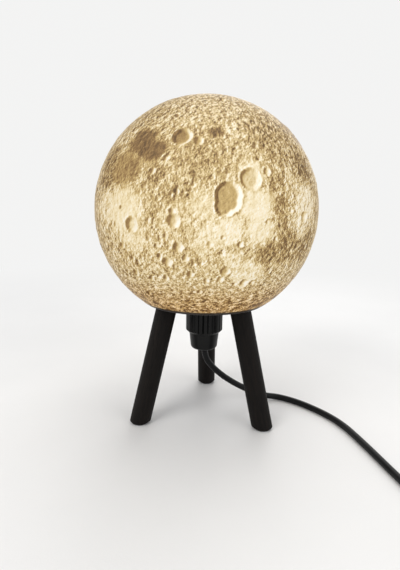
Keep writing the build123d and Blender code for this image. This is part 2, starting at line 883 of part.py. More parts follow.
plug_x, plug_y = plug_rear
body_rear = plug_y + relief_length
face_y = body_rear + plug_length
pin_places = [(-pin_spacing / 2, 0), (pin_spacing / 2, 0)]
pin_plane = Plane(origin=(plug_x, face_y, plug_level), x_dir=(1, 0, 0), z_dir=(0, 1, 0))
with BuildPart() as plug_body:
    with BuildSketch(Plane(origin=(plug_x, 0, 0))) as plug_outline:
        with BuildLine():
            Polyline(
                (-plug_width / 2, face_y),
                (-plug_width / 2, face_y - plug_shoulder),
                (-plug_waist / 2, body_rear),
                (plug_waist / 2, body_rear),
                (plug_width / 2, face_y - plug_shoulder),
                (plug_width / 2, face_y),
                close=True,
            )
        make_face()
        fillet(plug_outline.vertices(), plug_round)
    extrude(amount=plug_thickness)
    flat_faces = plug_body.faces().sort_by(Axis.Z)
    chamfer(flat_faces[0].edges() + flat_faces[-1].edges(), plug_edge_chamfer)
    with BuildSketch(Plane(origin=(plug_x, body_rear, plug_level), z_dir=(0, -1, 0))):
        Circle(relief_radius)
    with BuildSketch(Plane(origin=(plug_x, plug_y, plug_level), z_dir=(0, -1, 0))):
        Circle(relief_end_radius)
    loft(ruled=True)
    rib_pitch = relief_length / (relief_ribs + 1)
    for rib in range(1, relief_ribs + 1):
        groove_y = plug_y + rib * rib_pitch
        rib_radius = relief_end_radius + (relief_radius - relief_end_radius) * rib / (relief_ribs + 1)
        with BuildSketch(Plane(origin=(plug_x, groove_y, plug_level), z_dir=(0, 1, 0))):
            Circle(2 * relief_radius)
            Circle(rib_radius - relief_groove_depth, mode=Mode.SUBTRACT)
        extrude(amount=relief_groove_width / 2, both=True, mode=Mode.SUBTRACT)
    with BuildSketch(pin_plane):
        with Locations(*pin_places):
            Circle(pin_radius)
    extrude(amount=pin_sleeve_length)
    with BuildSketch(pin_plane.offset(-pin_sleeve_length)):
        with Locations(*pin_places):
            Circle(pin_core_radius + rocker_pin_clearance)
    extrude(amount=2 * pin_sleeve_length, mode=Mode.SUBTRACT)
finish(plug_body, "plug_body")

with BuildPart() as plug_pins:
    with BuildSketch(pin_plane.offset(-pin_sleeve_length)):
        with Locations(*pin_places):
            Circle(pin_core_radius)
    extrude(amount=2 * pin_sleeve_length)
    with BuildSketch(pin_plane.offset(pin_sleeve_length)):
        with Locations(*pin_places):
            Circle(pin_radius)
    extrude(amount=pin_tip_length)
    fillet(plug_pins.edges().filter_by(GeomType.CIRCLE).group_by(Axis.Y)[-1], pin_radius * 0.8)
finish(plug_pins, "plug_pins")
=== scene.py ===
import math

import bpy
from mathutils import Matrix, Vector


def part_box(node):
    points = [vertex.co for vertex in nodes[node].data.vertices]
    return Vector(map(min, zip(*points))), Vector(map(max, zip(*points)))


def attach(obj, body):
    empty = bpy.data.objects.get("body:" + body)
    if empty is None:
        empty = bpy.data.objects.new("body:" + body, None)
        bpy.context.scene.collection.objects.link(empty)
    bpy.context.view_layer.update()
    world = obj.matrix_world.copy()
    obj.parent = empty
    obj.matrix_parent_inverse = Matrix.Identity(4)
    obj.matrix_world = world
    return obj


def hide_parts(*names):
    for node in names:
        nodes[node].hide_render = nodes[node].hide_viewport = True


# Table lamp: a glowing cratered globe on a thin round plate with three dark legs, a lampholder
# under the plate, and a black cord with a switch and a plug. Metres, +Z up, rear leg on +Y.

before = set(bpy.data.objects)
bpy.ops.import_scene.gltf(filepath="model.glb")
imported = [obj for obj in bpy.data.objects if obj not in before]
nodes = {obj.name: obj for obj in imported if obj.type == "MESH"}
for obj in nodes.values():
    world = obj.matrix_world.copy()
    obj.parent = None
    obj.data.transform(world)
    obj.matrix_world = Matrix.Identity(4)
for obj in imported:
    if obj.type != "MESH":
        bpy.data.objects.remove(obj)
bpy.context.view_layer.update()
print("frame loaded:", len(nodes), "nodes")


# Camera, as the photograph was taken

camera = {
    "place": (0.02217, -0.40437, 0.20723),
    "yaw": -3.80,  # degrees, towards -X
    "pitch": 11.31,  # downwards
    "roll": 0.90,
    "focal": 434.6,  # pixels
    "frame": (400, 570),  # pixels
    "sensor": 36.0,
}


def placeCamera(facts):
    yaw = math.radians(facts["yaw"])
    pitch = math.radians(facts["pitch"])
    roll = math.radians(facts["roll"])
    ahead = Vector((math.sin(yaw) * math.cos(pitch), math.cos(yaw) * math.cos(pitch), -math.sin(pitch)))
    level = Vector((math.cos(yaw), -math.sin(yaw), 0))
    down = ahead.cross(level)
    right = level * math.cos(roll) - down * math.sin(roll)
    up = -(level * math.sin(roll) + down * math.cos(roll))
    lens = bpy.data.cameras.new("camera")
    lens.sensor_width = facts["sensor"]
    lens.lens = facts["sensor"] * facts["focal"] / max(facts["frame"])
    lens.clip_start = 0.01
    eye = bpy.data.objects.new("camera", lens)
    turned = Matrix((right, up, -ahead)).transposed().to_4x4()
    eye.matrix_world = Matrix.Translation(facts["place"]) @ turned
    bpy.context.scene.collection.objects.link(eye)
    bpy.context.scene.camera = eye


placeCamera(camera)
print("camera placed")


# Values and colours in node trees, written as expressions


class Field:
    def __init__(self, tree, socket=None):
        self.tree = tree
        self.socket = socket

    def node(self, kind, settings=(), inputs=(), output=0):
        # any node: its settings first, then what its sockets hold or are linked to
        made = self.tree.nodes.new(kind)
        for name, value in dict(settings).items():
            if name == "stops":
                for number, (place, colour) in enumerate(value):
                    ramp = made.color_ramp.elements
                    stop = ramp[number] if number < 2 else ramp.new(place)
                    stop.position = place
                    stop.color = (*colour, 1)
            else:
                setattr(made, name, value)
        for name, value in dict(inputs).items():
            for part in value if isinstance(value, list) else [value]:
                if isinstance(part, Field):
                    self.tree.links.new(part.socket, made.inputs[name])
                else:
                    made.inputs[name].default_value = part
        return Field(self.tree, made.outputs[output] if made.outputs else None)

    def maths(self, operation, *others):
        # of this number and the others, in this order
        return self.node("ShaderNodeMath", {"operation": operation}, enumerate((self, *others)))

    def vector(self, operation, *others, output=0):
        # of this vector and the others, in this order
        settings = {"operation": operation}
        return self.node("ShaderNodeVectorMath", settings, enumerate((self, *others)), output)

    def scaled(self, amount):
        inputs = {0: self, "Scale": amount}
        return self.node("ShaderNodeVectorMath", {"operation": "SCALE"}, inputs)

    def times(self, direction):
        # a direction, as long as this value says
        return self.node("ShaderNodeVectorMath", {"operation": "SCALE"}, {0: direction, "Scale": self})

    def part(self, name):
        # the X, Y or Z of a vector
        return self.node("ShaderNodeSeparateXYZ", {}, {0: self}, name)

    def __add__(self, other):
        return self.maths("ADD", other)

    def __radd__(self, other):
        return self.maths("ADD", other)

    def __sub__(self, other):
        return self.maths("SUBTRACT", other)

    def __rsub__(self, other):
        return self.node("ShaderNodeMath", {"operation": "SUBTRACT"}, {0: other, 1: self})

    def __mul__(self, other):
        return self.maths("MULTIPLY", other)

    def __rmul__(self, other):
        return self.maths("MULTIPLY", other)

    def __truediv__(self, other):
        return self.maths("DIVIDE", other)

    def between(self, low, high):
        # eased from 0 at low to 1 at high, which may be the smaller of the two
        inputs = {"Value": self, "From Min": low, "From Max": high}
        return self.node("ShaderNodeMapRange", {"interpolation_type": "SMOOTHSTEP"}, inputs)

    def mixed(self, low, high):
        # the colour low where this is 0 and high where it is 1
        low, high = [end if isinstance(end, Field) else (*end, 1) for end in (low, high)]
        return self.node("ShaderNodeMix", {"data_type": "RGBA"}, {0: self, 6: low, 7: high}, 2)

    def tinted(self, colour):
        # this colour times another
        settings = {"data_type": "RGBA", "blend_type": "MULTIPLY"}
        return self.node("ShaderNodeMix", settings, {0: 1.0, 6: self, 7: (*colour, 1)}, 2)

    def picked(self, values):
        # the value that this number picks from a list
        made = self.tree.nodes.new("GeometryNodeIndexSwitch")
        made.data_type = "VECTOR" if isinstance(values[0], tuple) else "FLOAT"
        for number in range(2, len(values)):
            made.index_switch_items.new()
        for number, value in enumerate(values):
            made.inputs[str(number)].default_value = value
        self.tree.links.new(self.socket, made.inputs["Index"])
        return Field(self.tree, made.outputs[0])

    def repeated(self, count, begin, step):
        # a step taken for each number below the count, which hands its named values on to the next
        first = self.tree.nodes.new("GeometryNodeRepeatInput")
        last = self.tree.nodes.new("GeometryNodeRepeatOutput")
        first.pair_with_output(last)
        last.repeat_items.clear()
        for name in begin:
            last.repeat_items.new("FLOAT", name)
        first.inputs["Iterations"].default_value = count
        for name, value in begin.items():
            first.inputs[name].default_value = value
        held = [Field(self.tree, first.outputs[name]) for name in begin]
        made = step(Field(self.tree, first.outputs["Iteration"]), *held)
        for name, value in zip(begin, made):
            self.tree.links.new(value.socket, last.inputs[name])
        return [Field(self.tree, last.outputs[name]) for name in begin]

    def highest(self, other):
        return self.maths("MAXIMUM", other)

    def noise(self, scale, detail=2.0, roughness=0.5):
        inputs = {"Vector": self, "Scale": scale, "Detail": detail, "Roughness": roughness}
        return self.node("ShaderNodeTexNoise", {}, inputs)

    def cells(self, scale):
        # how far it is to the middle of a cell
        return self.node("ShaderNodeTexVoronoi", {}, {"Vector": self, "Scale": scale})


# Materials


def newMaterial(name):
    material = bpy.data.materials.new(name)
    material.use_nodes = True
    tree = material.node_tree
    tree.nodes.clear()
    return material, Field(tree)


def finishSurface(start, shader):
    start.node("ShaderNodeOutputMaterial", {}, {"Surface": shader})


def objectPlace(start, turned=(0, 0, 0), centre=(0, 0, 0)):
    place = start.node("ShaderNodeTexCoord", output="Object")
    moved = place.vector("SUBTRACT", centre)
    return moved.node("ShaderNodeMapping", {}, {"Vector": moved, "Rotation": turned})


def principled(start, colour, roughness, bump, bumpHeight, **constants):
    # colour and roughness may vary over the surface; the constants are the same all over it
    normal = start.node("ShaderNodeBump", {}, {"Height": bump, "Distance": bumpHeight})
    inputs = {"Base Color": colour, "Roughness": roughness, "Normal": normal}
    inputs.update({name.replace("_", " "): value for name, value in constants.items()})
    return start.node("ShaderNodeBsdfPrincipled", {}, inputs)


patchy = (0.3, 0.7)  # values of a noise between which its patches fade in

wood = {
    "dark": (0.0035, 0.0028, 0.0025),
    "worn": (0.015, 0.0105, 0.008),
    "grain": 0.0009,
    "stretch": 0.05,  # width of the grain over its length
    "fibre": (0.35, 0.75),
    "fibreShade": 0.55,
    "fibreHeight": 0.6,
    "streak": (0.4, 0.7),
    "streakShade": 0.3,
    "streaks": 0.12,  # how close together the broad streaks are, over the fibres
    "pore": (0.62, 0.70),
    "pores": 2.2,  # how close together the pores are, over the fibres
    "roughness": (0.5, 0.7),
    "relief": 0.00025,
    "gloss": 0.12,
}


def woodMaterial(name, axis):
    # black-brown stain over open grain that runs along the leg
    material, start = newMaterial(name)
    turn = axis.rotation_difference(Vector((0, 0, 1))).to_euler()
    drawn = objectPlace(start, tuple(turn)).vector("MULTIPLY", (1, 1, wood["stretch"]))
    streak = drawn.noise(wood["streaks"] / wood["grain"], 3).between(*wood["streak"])
    fibre = drawn.noise(1 / wood["grain"], 4, 0.65)
    pore = drawn.noise(wood["pores"] / wood["grain"], 1).between(*wood["pore"])
    shade = fibre.between(*wood["fibre"]) * wood["fibreShade"] + streak * wood["streakShade"]
    colour = pore.mixed(shade.mixed(wood["dark"], wood["worn"]), wood["dark"])
    low, high = wood["roughness"]
    rough = low + (high - low) * fibre
    height = fibre * wood["fibreHeight"] - pore
    finishSurface(start, principled(
        start, colour, rough, height, wood["relief"], Specular_IOR_Level=wood["gloss"]
    ))
    return material


plastic = {"cloud": 1 / 60, "darker": 0.8, "lighter": 1.25, "roughnessSpread": 0.16}


def plasticMaterial(name, colour, roughness, grain=0.0006, height=0.00004, **constants):
    # moulded plastic: a faint cloudiness in the gloss and a fine skin
    material, start = newMaterial(name)
    place = objectPlace(start)
    cloud = place.noise(1 / plastic["cloud"], 3)
    skin = place.noise(1 / grain, 2)
    light = tuple(min(1, part * plastic["lighter"] + 0.002) for part in colour)
    dark = tuple(part * plastic["darker"] for part in colour)
    shade = cloud.between(*patchy).mixed(dark, light)
    rough = roughness + plastic["roughnessSpread"] * (cloud - 0.5)
    finishSurface(start, principled(start, shade, rough, skin, height, **constants))
    return material


metal = {
    "marks": 1 / 900,
    "stains": 1 / 180,
    "stain": (0.35, 0.75),
    "dull": 0.7,
    "roughnessSpread": 0.2,
    "relief": 0.00003,
}


def metalMaterial(name, colour, roughness, stretch=(1, 1, 1)):
    # plated or plain metal with light handling marks
    material, start = newMaterial(name)
    place = objectPlace(start)
    marks = place.vector("MULTIPLY", stretch).noise(1 / metal["marks"], 3, 0.6)
    stain = place.noise(1 / metal["stains"], 3)
    dull = tuple(part * metal["dull"] for part in colour)
    shade = stain.between(*metal["stain"]).mixed(colour, dull)
    rough = roughness + metal["roughnessSpread"] * marks
    finishSurface(start, principled(start, shade, rough, marks, metal["relief"], Metallic=1.0))
    return material


printed = {
    "layer": 0.0003,
    "layerShade": 0.1,
    "layerHeight": 0.5,
    "cloud": 1 / 90,
    "cloudShade": 0.8,
    "roughness": (0.45, 0.60),
    "relief": 0.00006,
}


def printedMaterial(name, dark, light):
    # dark printed plastic with its layers just showing
    material, start = newMaterial(name)
    place = objectPlace(start)
    lines = (place.part("Z") * (2 * math.pi / printed["layer"])).maths("SINE")
    cloud = place.noise(1 / printed["cloud"], 3)
    shade = cloud.between(*patchy) * printed["cloudShade"] + lines * printed["layerShade"]
    low, high = printed["roughness"]
    rough = low + (high - low) * cloud
    height = lines * printed["layerHeight"] + cloud
    finishSurface(start, principled(start, shade.mixed(dark, light), rough, height, printed["relief"]))
    return material


opal = {"cloud": 1 / 70, "skin": 1 / 1500, "darker": 0.9, "roughness": (0.35, 0.45), "relief": 0.00003}


def glowingMaterial(name, colour, strength):
    # opal plastic lit from behind
    material, start = newMaterial(name)
    place = objectPlace(start)
    cloud = place.noise(1 / opal["cloud"], 3).between(*patchy)
    shade = cloud.mixed(tuple(part * opal["darker"] for part in colour), colour)
    low, high = opal["roughness"]
    rough = low + (high - low) * cloud
    finishSurface(start, principled(
        start, shade, rough, place.noise(1 / opal["skin"]), opal["relief"],
        Emission_Color=shade, Emission_Strength=strength,
    ))
    return material


print("materials ready")


# The globe: its relief is one function, used for its mesh and for its finish

globe = {
    "around": 460,
    "rows": 168,
    "innerRows": 20,
    "wall": 0.003,
    "edge": 0.004,  # the relief fades out this near the cut
    "pebble": 0.0055,  # size of the pebbles that the mesh carries
    "pebbleHeight": 0.00028,
    "rolling": 0.022,  # size of the rolling ground
    "rollingHeight": 0.0005,
    "rollingLevel": 0.8,
    "pitSpacing": 0.0130,
    "pitDepth": 0.0005,
    "pitEdge": (0.20, 0.10),  # shares of the spacing
    "rimHeight": 0.4,  # share of a crater's depth
    "smoothed": 0.85,  # share of the pebbles and pits that craters and calm grounds take away
    "ragged": 0.011,  # size of the bays in the outline of a ground
    "raggedEdge": 1.1,
    "raggedTone": 0.10,
    "groundEdge": (1.25, 0.6),  # shares of a ground's radius between which it fades in
    "wrinkles": (-0.035, -0.080),  # heights between which the pebbles draw out into wrinkles
    "wrinkleLength": 0.48,
    "wrinkleSquash": -0.12,
    "wrinkleDepth": 0.55,
    "frontShare": 0.35,  # how much closer together the mesh's columns and rows stand at the front
    "step": 0.0008,  # how far apart two heights are taken to find the slope
    "lightFrom": (-1.0, 0.25),  # the side that the relief's shading seems lit from: east, north
    "polar": (0.70, 0.93),  # heights, as a share of the radius, between which that side becomes the next
    "polarLight": (-1.0, 0.25, 0.0),
}

# Craters, placed after the photograph: degrees east and north of the front, radius and
# depth in millimetres, share of the radius that is flat floor, and how much darker the floor is
craters = [
    (12.3, 8.6, 9.7, 1.3, 0.74, 0.10),
    (10.8, 4.2, 7.4, 1.3, 0.68, 0.10),
    (13.4, 5.6, 7.0, 1.3, 0.64, 0.10),
    (21.9, 15.2, 8.1, 0.9, 0.62, -0.06),
    (30.2, 18.7, 3.2, 0.8, 0.30, 0.0),
    (-9.3, 33.8, 7.4, 1.0, 0.66, 0.22),
    (-0.9, 31.6, 3.8, 0.8, 0.35, 0.08),
    (-30.4, -4.2, 5.9, 1.1, 0.38, -0.13),
    (-10.1, -1.9, 5.2, 1.0, 0.35, -0.02),
    (-10.8, 1.9, 2.5, 0.6, 0.30, 0.0),
    (-8.4, -13.0, 4.0, 0.9, 0.30, -0.05),
    (-14.2, -19.7, 4.0, 0.9, 0.25, 0.02),
    (-17.3, -16.9, 2.2, 0.6, 0.20, 0.12),
    (-38.2, -13.8, 2.8, 0.6, 0.20, 0.0),
    (-33.1, -19.5, 2.4, 0.6, 0.20, 0.03),
    (-34.0, -26.8, 3.1, 0.6, 0.20, 0.03),
    (-16.2, -27.9, 2.6, 0.7, 0.20, 0.0),
    (-24.8, -28.9, 2.4, 0.6, 0.20, 0.0),
    (-3.8, -25.4, 2.8, 0.7, 0.20, 0.10),
    (12.4, -23.6, 3.9, 0.6, 0.50, 0.10),
    (10.7, -27.7, 2.8, 0.8, 0.20, -0.05),
    (3.8, -28.3, 2.4, 0.7, 0.20, 0.0),
    (23.0, -29.9, 3.4, 0.8, 0.20, 0.0),
    (27.9, -30.2, 2.7, 0.7, 0.20, 0.0),
    (17.9, -11.3, 2.5, 0.8, 0.20, -0.05),
    (0.5, -35.1, 2.0, 0.7, 0.20, 0.0),
    (-13.9, -8.5, 2.1, 0.5, 0.20, 0.0),
    (52.3, -0.2, 4.6, 0.9, 0.30, -0.08),
    (-41.1, -4.6, 2.3, 0.4, 0.20, 0.0),
    (4.8, -11.2, 2.2, 0.4, 0.20, 0.0),
    (-18.5, -12.7, 1.7, 0.5, 0.20, 0.04),
    (-5.4, -17.5, 2.8, 0.8, 0.20, -0.05),
    (-1.9, -20.4, 2.0, 0.6, 0.20, -0.05),
    (-32.6, -39.3, 2.7, 0.7, 0.20, 0.04),
    (-21.0, 18.2, 2.8, 0.8, 0.20, -0.05),
    (34.7, -9.1, 1.8, 0.5, 0.20, -0.05),
    (29.5, -1.9, 1.9, 0.6, 0.20, 0.04),
    (18.1, -30.5, 1.8, 0.5, 0.20, -0.05),
    (16.8, 61.0, 2.8, 0.8, 0.20, -0.05),
    (-15.4, 46.4, 2.4, 0.7, 0.20, 0.04),
    (-15.6, 23.4, 2.7, 0.8, 0.20, -0.05),
    (19.1, -40.7, 1.9, 0.5, 0.20, -0.05),
    (-41.2, -27.1, 2.1, 0.6, 0.20, 0.04),
    (1.3, -19.9, 1.7, 0.5, 0.20, -0.05),
    (42.3, 2.7, 1.8, 0.5, 0.20, -0.05),
    (-11.3, 8.6, 1.7, 0.5, 0.20, 0.04),
    (-5.9, 9.4, 1.7, 0.5, 0.20, -0.05),
    (10.2, -8.4, 1.7, 0.5, 0.20, -0.05),
    (-36.6, 2.9, 1.8, 0.5, 0.20, 0.04),
]

# Grounds, placed likewise: degrees east and north of the front, radius in millimetres, change of
# brightness, and how calm the ground is
grounds = [
    (-31.5, 32.0, 13.5, -0.40, 0.80),
    (-22.3, 27.5, 9.5, -0.38, 0.80),
    (-37.5, 20.6, 16.0, -0.23, 0.75),
    (-52.6, 24.0, 14.0, -0.30, 0.30),
    (-52.0, 16.5, 12.0, -0.24, 0.10),
    (-20.0, 17.0, 8.5, -0.18, 0.00),
    (-35.0, 47.0, 14.0, -0.12, 0.00),
    (7.4, 36.0, 5.4, -0.36, 0.40),
    (15.0, 37.5, 4.0, 0.16, 0.00),
    (-1.1, 24.2, 20.0, -0.10, 0.00),
    (6.2, 22.7, 6.5, -0.14, 0.00),
    (40.6, 37.2, 24.0, -0.17, 0.00),
    (55.5, 22.0, 14.0, -0.32, 0.00),
    (34.2, 14.9, 7.5, -0.15, 0.00),
    (36.0, 4.9, 7.5, -0.20, 0.00),
    (38.3, -5.3, 8.5, -0.16, 0.00),
    (31.5, -15.8, 9.5, -0.30, 0.00),
    (44.0, -13.0, 13.5, -0.28, 0.00),
    (60.0, -13.2, 14.5, -0.28, 0.00),
    (-9.7, 8.7, 9.5, -0.16, 0.00),
    (-5.6, -7.6, 7.5, -0.06, 0.00),
    (-5.9, -15.6, 10.5, -0.10, 0.00),
    (-38.4, -21.6, 14.0, -0.05, 0.00),
    (-36.0, 1.4, 19.0, 0.22, 0.85),
    (-48.5, 3.0, 13.0, 0.22, 0.30),
    (-31.3, -8.5, 13.0, 0.17, 0.50),
    (-8.0, -1.0, 16.0, 0.07, 0.25),
    (23.2, 17.6, 10.5, 0.22, 0.85),
    (19.0, 11.4, 9.0, 0.18, 0.70),
    (24.3, 4.8, 14.5, 0.24, 0.90),
    (25.5, -4.8, 12.5, 0.22, 0.75),
    (12.6, -5.5, 12.0, 0.24, 0.80),
    (4.8, -7.5, 10.0, 0.20, 0.60),
    (1.3, -12.0, 8.5, 0.15, 0.45),
    (2.0, 4.0, 11.0, 0.14, 0.60),
    (54.0, 5.5, 16.0, 0.30, 0.10),
    (51.5, -3.0, 12.0, 0.24, 0.10),
    (23.0, -25.3, 13.0, 0.19, 0.45),
    (15.5, -18.7, 8.0, 0.14, 0.30),
]


# The sides that the photograph doesn't show get made-up ones. The places are spread by the
# golden angle over a band of the sphere, and those that are too near the front are left out.
rearCraters = [
    {
        "places": 18,
        "band": (-42, 62),
        "shift": 0.0,
        "fromFront": 68,
        "radii": (5.5, 8.0, 6.5, 11.5),
        "depth": 0.1,
        "flat": 0.5,
        "darker": 0.12,
    },
    {
        "places": 64,
        "band": (-48, 76),
        "shift": 71.0,
        "fromFront": 64,
        "radii": (2.4, 3.4, 2.1, 4.3, 2.8),
        "depth": 0.24,
        "flat": 0.25,
        "darker": 0.06,
    },
]
rearGrounds = {
    "places": 24,
    "band": (-40, 66),
    "shift": 25.0,
    "fromFront": 74,
    "radii": (21.0, 15.0, 27.0, 12.0, 18.0),
    "looks": ((-0.26, 0.6), (0.18, 0.8), (-0.16, 0.2), (0.20, 0.6)),
}


def rearPlaces(kind):
    goldenAngle = 137.508
    low, high = [math.sin(math.radians(edge)) for edge in kind["band"]]
    for number in range(kind["places"]):
        east = (number * goldenAngle + kind["shift"]) % 360 - 180
        north = math.degrees(math.asin(low + (high - low) * (number + 0.5) / kind["places"]))
        if abs(east) > kind["fromFront"]:
            yield number, east, north, kind["radii"][number % len(kind["radii"])]


for kind in rearCraters:
    for number, east, north, radius in rearPlaces(kind):
        darker = kind["darker"] if number % 3 else -0.05
        craters.append((east, north, radius, kind["depth"] * radius, kind["flat"], darker))
for number, east, north, radius in rearPlaces(rearGrounds):
    grounds.append((east, north, radius, *rearGrounds["looks"][number % len(rearGrounds["looks"])]))
print("craters:", len(craters), "and grounds:", len(grounds))


def direction(east, north):
    # degrees from the front, seen from the globe's centre
    around = math.radians(east)
    up = math.radians(north)
    return Vector((math.cos(up) * math.sin(around), -math.cos(up) * math.cos(around), math.sin(up)))


# Where each part of a crater begins and where it's whole: 0 is its rim, 1 its floor, and a place
# outside the rim is below 0
crater = {
    "pit": (0.0, 1.0),
    "rim": (-0.35, -0.02),
    "inside": (-0.05, 0.15),
    "darker": (0.45, 0.95),
    "lighter": (0.1, 0.95),
    "offset": 0.12,  # share of the radius by which the floor lies to the west of the middle
}


def overCraters(place, radius):
    # at a place given from the globe's centre: depth of the craters, height of their rims, how
    # far inside one it is, and how much darker and lighter their floors are

    def step(number, pit, rim, inside, darker, lighter):
        middle = number.picked([tuple(direction(east, north) * radius) for east, north, *rest in craters])
        floor = number.picked([
            tuple(direction(east - math.degrees(crater["offset"] * size / 1000 / radius), north) * radius)
            for east, north, size, *rest in craters
        ])
        size = number.picked([row[2] / 1000 for row in craters])
        depth = number.picked([row[3] / 1000 for row in craters])
        flat = number.picked([row[4] for row in craters])
        dark = number.picked([row[5] for row in craters])
        toRim = size - place.vector("DISTANCE", middle, output="Value")
        toFloor = (place.vector("DISTANCE", floor, output="Value") - flat * size).highest(0.0)
        share = toRim / (toRim.maths("ABSOLUTE") + toFloor + 0.00001)
        return (
            pit.highest(share.between(*crater["pit"]) * depth),
            rim.highest(share.between(*crater["rim"]) * depth),
            inside.highest(share.between(*crater["inside"])),
            darker.highest(share.between(*crater["darker"]) * dark),
            lighter.highest(share.between(*crater["lighter"]) * (0 - dark)),
        )

    begin = {"pit": 0.0, "rim": 0.0, "inside": 0.0, "darker": 0.0, "lighter": 0.0}
    return place.repeated(len(craters), begin, step)


def overGrounds(place, radius):
    # the change of brightness and the calmness that the grounds bring
    ragged = place.noise(1 / globe["ragged"], 4, 0.65) - 0.5

    def step(number, lighter, darker, calm):
        middle = number.picked([tuple(direction(east, north) * radius) for east, north, *rest in grounds])
        size = number.picked([row[2] / 1000 for row in grounds])
        apart = place.vector("DISTANCE", middle, output="Value") / size + ragged * globe["raggedEdge"]
        share = apart.between(*globe["groundEdge"])
        tone = share * number.picked([row[3] for row in grounds])
        return (
            lighter.highest(tone),
            darker.highest(0 - tone),
            calm.highest(share * number.picked([row[4] for row in grounds])),
        )

    begin = {"lighter": 0.0, "darker": 0.0, "calm": 0.0}
    lighter, darker, calm = place.repeated(len(grounds), begin, step)
    return lighter - darker + ragged * globe["raggedTone"], calm


def relief(place, radius):
    # height of the print over the sphere
    pit, rim, inside, darker, lighter = overCraters(place, radius)
    tone, calm = overGrounds(place, radius)
    swell = 2 * globe["rollingHeight"]
    rolling = place.noise(1 / globe["rolling"], 3) * swell - globe["rollingLevel"] * swell
    bumps = place.cells(1 / globe["pebble"]) * globe["pebbleHeight"]
    hollows = place.cells(1 / globe["pitSpacing"]).between(*globe["pitEdge"]) * globe["pitDepth"]
    fine = (bumps - hollows) * (1 - globe["smoothed"] * inside.highest(calm))
    return globe["rimHeight"] * rim * (1 - inside) - pit + rolling + fine


def towardsLight(place):
    # along the surface, towards the side that the shading seems lit from
    east = place.vector("CROSS_PRODUCT", (0, 0, 1)).scaled(-1).vector("NORMALIZE")
    north = place.vector("CROSS_PRODUCT", east).vector("NORMALIZE")
    eastShare, northShare = globe["lightFrom"]
    way = east.scaled(eastShare).vector("ADD", north.scaled(northShare))
    # round the pole it comes from one side, because east turns too fast there
    polar = place.vector("NORMALIZE").part("Z").between(*globe["polar"])
    return way.scaled(1 - polar).vector("ADD", polar.times(globe["polarLight"]))


def facing(place, height, step):
    # how much the slope of a height at a place faces the light
    way = towardsLight(place)
    ahead = way.scaled(step)
    far = height(place.vector("SUBTRACT", ahead))
    near = height(place.vector("ADD", ahead))
    return (far - near) / (2 * step)


def newTree(name, sizes):
    # a geometry tree with one output and a named input for each size
    tree = bpy.data.node_groups.new(name, "GeometryNodeTree")
    tree.interface.new_socket("Geometry", in_out="OUTPUT", socket_type="NodeSocketGeometry")
    kinds = {float: "NodeSocketFloat", int: "NodeSocketInt", tuple: "NodeSocketVector"}
    for size, value in sizes.items():
        socket = tree.interface.new_socket(size, in_out="INPUT", socket_type=kinds[type(value)])
        socket.default_value = value
    held = tree.nodes.new("NodeGroupInput")
    return tree, Field(tree), {size: Field(tree, held.outputs[size]) for size in sizes}


def closeTree(start, made, material):
    made = start.node("GeometryNodeRealizeInstances", {}, {0: made})
    made = start.node("GeometryNodeSetMaterial", {}, {"Geometry": made, "Material": material})
    start.node("NodeGroupOutput", {}, {0: made})


def grow(name, tree, sizes):
    # run a tree on an empty mesh and keep the result as a plain mesh
    piece = bpy.data.objects.new(name, bpy.data.meshes.new(name))
    bpy.context.scene.collection.objects.link(piece)
    modifier = piece.modifiers.new(name, "NODES")
    modifier.node_group = tree
    for socket in tree.interface.items_tree:
        if socket.in_out == "INPUT":
            modifier[socket.identifier] = sizes[socket.name]
    graph = bpy.context.evaluated_depsgraph_get()
    made = bpy.data.meshes.new_from_object(
        piece.evaluated_get(graph), preserve_all_data_layers=True, depsgraph=graph
    )
    piece.modifiers.remove(modifier)
    piece.data = made
    made.name = name
    return piece


